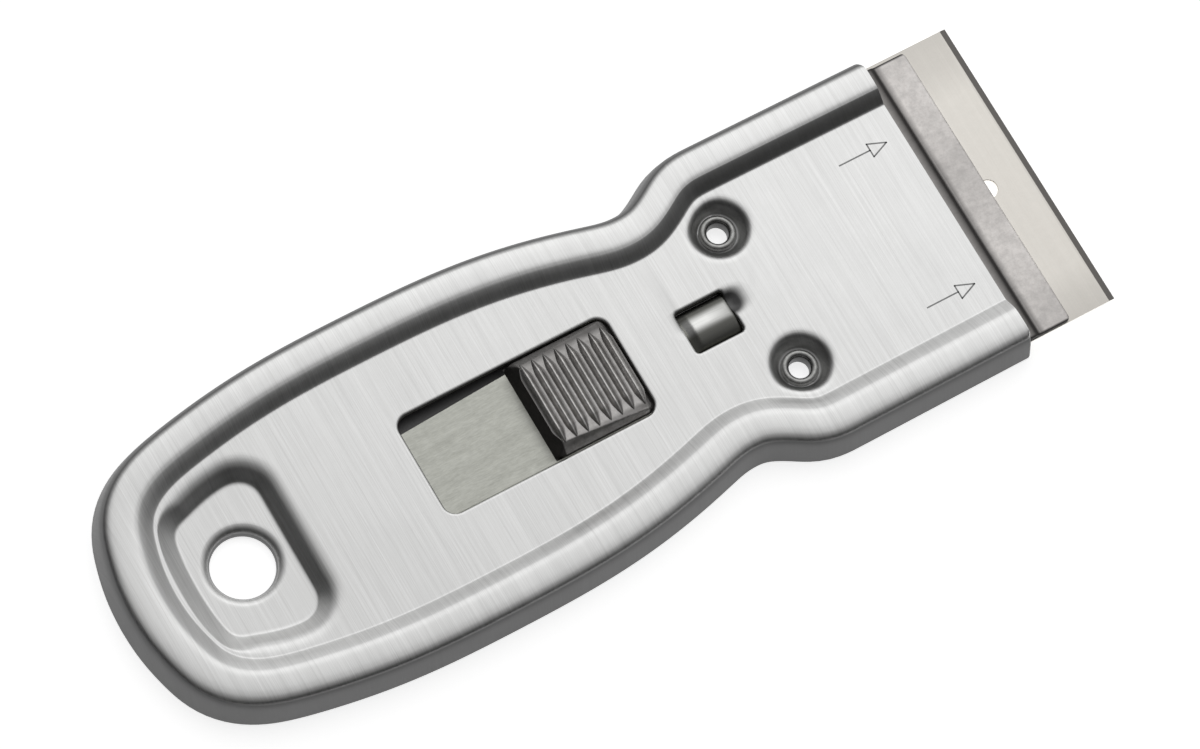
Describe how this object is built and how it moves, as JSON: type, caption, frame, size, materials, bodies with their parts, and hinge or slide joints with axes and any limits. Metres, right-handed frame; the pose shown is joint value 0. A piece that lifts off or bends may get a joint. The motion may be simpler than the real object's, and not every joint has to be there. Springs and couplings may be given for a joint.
{
  "type": "ceramic hob scraper",
  "caption": "Flat all-metal hob scraper with a sliding single edge blade, ribbed thumb button, sprung lock, two eyelets and a hang hole.",
  "frame": {"origin": "middle of the whole tool, blade out, on its flat back face", "axes": "+X towards the blade, +Y to the left, +Z out of the panel with the thumb button"},
  "size_m": [0.1194, 0.0418, 0.005],
  "materials": {
    "brushed_shell": "brushed across the tool",
    "back_steel": "satin",
    "slide_steel": "matte rolled",
    "blade_steel": "ground",
    "button_metal": "burnished dark",
    "spring_steel": "blued"
  },
  "bodies": {
    "handle": {"front_shell": "brushed_shell", "back_plate": "back_steel", "eyelet_left": "brushed_shell", "eyelet_right": "brushed_shell"},
    "slide": {"slide_plate": "slide_steel", "thumb_button": "button_metal", "lock_spring": "spring_steel", "razor_blade": "blade_steel", "blade_spine": "slide_steel"}
  },
  "joints": [
    {"name": "blade_slide", "type": "slide", "parent": "handle", "child": "slide", "axis": [1, 0, 0], "range_m": [-0.0138, 0], "deforming": ["lock_spring"]}
  ]
}
